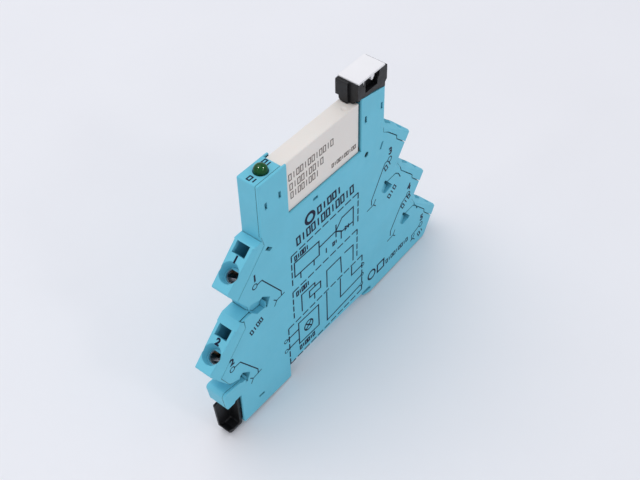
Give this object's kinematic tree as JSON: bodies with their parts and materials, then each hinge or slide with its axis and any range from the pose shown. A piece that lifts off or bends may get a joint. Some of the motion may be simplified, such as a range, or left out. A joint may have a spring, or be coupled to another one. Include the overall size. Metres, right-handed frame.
{
  "type": "rail-mounted relay module",
  "caption": "Slim rail-mounted relay module: flat two-shell socket with slanting wire terminals, plug-in relay, swinging retaining lever, indicator light and sliding rail foot.",
  "frame": {"origin": "on the face that rests on the rail, midway between the edges of the 35 mm rail, at mid-thickness", "axes": "+X from the coil terminals to the contact terminals, +Y through the thickness away from the printed cover, +Z away from the rail"},
  "size_m": [0.0937, 0.0062, 0.0817],
  "materials": {
    "housing_plastic": "fine satin moulded polyamide",
    "black_plastic": "satin moulded plastic",
    "marker_white": "matt writing surface",
    "relay_cream": "satin moulded plastic",
    "relay_inner_plastic": "matt moulded plastic",
    "board": "solder-masked laminate",
    "component_black": "matt epoxy",
    "led_green": "translucent tinted, glossy",
    "copper_alloy": "stamped strip",
    "tin_plated": "tin-plated strip",
    "spring_steel": "bright rolled strip",
    "magnet_iron": "plated soft iron",
    "coil_wire": "enamelled copper winding",
    "silver_contact": "silver alloy"
  },
  "bodies": {
    "housing": {"housing_shell": "housing_plastic", "side_cover": "housing_plastic", "circuit_board": "board", "bridge_rectifier": "component_black", "series_resistor": "component_black", "suppressor_diode": "component_black", "led_emitter": "led_green", "led_lens": "led_green", "coil_receptacles": "tin_plated", "busbar_a1": "copper_alloy", "busbar_a2": "copper_alloy", "busbar_14": "copper_alloy", "busbar_11": "copper_alloy", "busbar_12": "copper_alloy"},
    "latch": {"foot_latch": "black_plastic"},
    "lever": {"retaining_lever": "black_plastic", "marker_plate": "marker_white"},
    "relay": {"relay_case": "relay_cream", "relay_base": "relay_inner_plastic", "relay_bobbin": "relay_inner_plastic", "relay_coil": "coil_wire", "relay_core": "magnet_iron", "relay_yoke": "magnet_iron", "relay_contact_no": "copper_alloy", "relay_contact_nc": "copper_alloy", "relay_common_pin": "copper_alloy", "relay_coil_pins": "tin_plated"},
    "armature": {"relay_armature": "magnet_iron"},
    "pusher": {"relay_pusher": "relay_inner_plastic"},
    "contact_spring": {"relay_common_spring": "copper_alloy", "relay_moving_contact": "silver_contact"},
    "clamp_a1": {"clamp_spring_a1": "spring_steel"},
    "clamp_a2": {"clamp_spring_a2": "spring_steel"},
    "clamp_14": {"clamp_spring_14": "spring_steel"},
    "clamp_11": {"clamp_spring_11": "spring_steel"},
    "clamp_12": {"clamp_spring_12": "spring_steel"}
  },
  "joints": [
    {"name": "lever_swing", "type": "hinge", "parent": "housing", "child": "lever", "pos_m": [0.0146, 0, 0.0516], "axis": [0, 1, 0], "range_deg": [0, 24]},
    {"name": "relay_eject", "type": "slide", "parent": "housing", "child": "relay", "axis": [0, 0, 1], "range_m": [0, 0.00293]},
    {"name": "latch_slide", "type": "slide", "parent": "housing", "child": "latch", "axis": [-1, 0, 0], "range_m": [0, 0.0025], "stiffness_N_per_m": 300, "springref_m": -0.003},
    {"name": "armature_pull", "type": "hinge", "parent": "relay", "child": "armature", "pos_m": [-0.0026, 0, 0.0565], "axis": [0, -1, 0], "range_deg": [0, 4], "stiffness_Nm_per_rad": 0.02},
    {"name": "pusher_slide", "type": "slide", "parent": "relay", "child": "pusher", "axis": [-1, 0, 0], "range_m": [0, 0.0007]},
    {"name": "contact_flex", "type": "hinge", "parent": "relay", "child": "contact_spring", "pos_m": [0.0043, 0, 0.056], "axis": [0, -1, 0], "range_deg": [0, 4]},
    {"name": "clamp_a1_open", "type": "hinge", "parent": "housing", "child": "clamp_a1", "pos_m": [-0.02275, 0, 0.04407], "axis": [0, -1, 0], "range_deg": [0, 8], "stiffness_Nm_per_rad": 0.3},
    {"name": "clamp_a2_open", "type": "hinge", "parent": "housing", "child": "clamp_a2", "pos_m": [-0.03145, 0, 0.02261], "axis": [0, -1, 0], "range_deg": [0, 8], "stiffness_Nm_per_rad": 0.3},
    {"name": "clamp_14_open", "type": "hinge", "parent": "housing", "child": "clamp_14", "pos_m": [0.01926, 0, 0.04757], "axis": [0, 1, 0], "range_deg": [0, 8], "stiffness_Nm_per_rad": 0.3},
    {"name": "clamp_11_open", "type": "hinge", "parent": "housing", "child": "clamp_11", "pos_m": [0.02738, 0, 0.02829], "axis": [0, 1, 0], "range_deg": [0, 8], "stiffness_Nm_per_rad": 0.3},
    {"name": "clamp_12_open", "type": "hinge", "parent": "housing", "child": "clamp_12", "pos_m": [0.03471, 0, 0.00959], "axis": [0, 1, 0], "range_deg": [0, 8], "stiffness_Nm_per_rad": 0.3}
  ],
  "couplings": [
    {"joint": "lever_swing", "follows": "relay_eject", "rad_per_m": 142.86},
    {"joint": "pusher_slide", "follows": "armature_pull", "m_per_rad": 0.0098},
    {"joint": "contact_flex", "follows": "armature_pull", "ratio": 0.951}
  ]
}
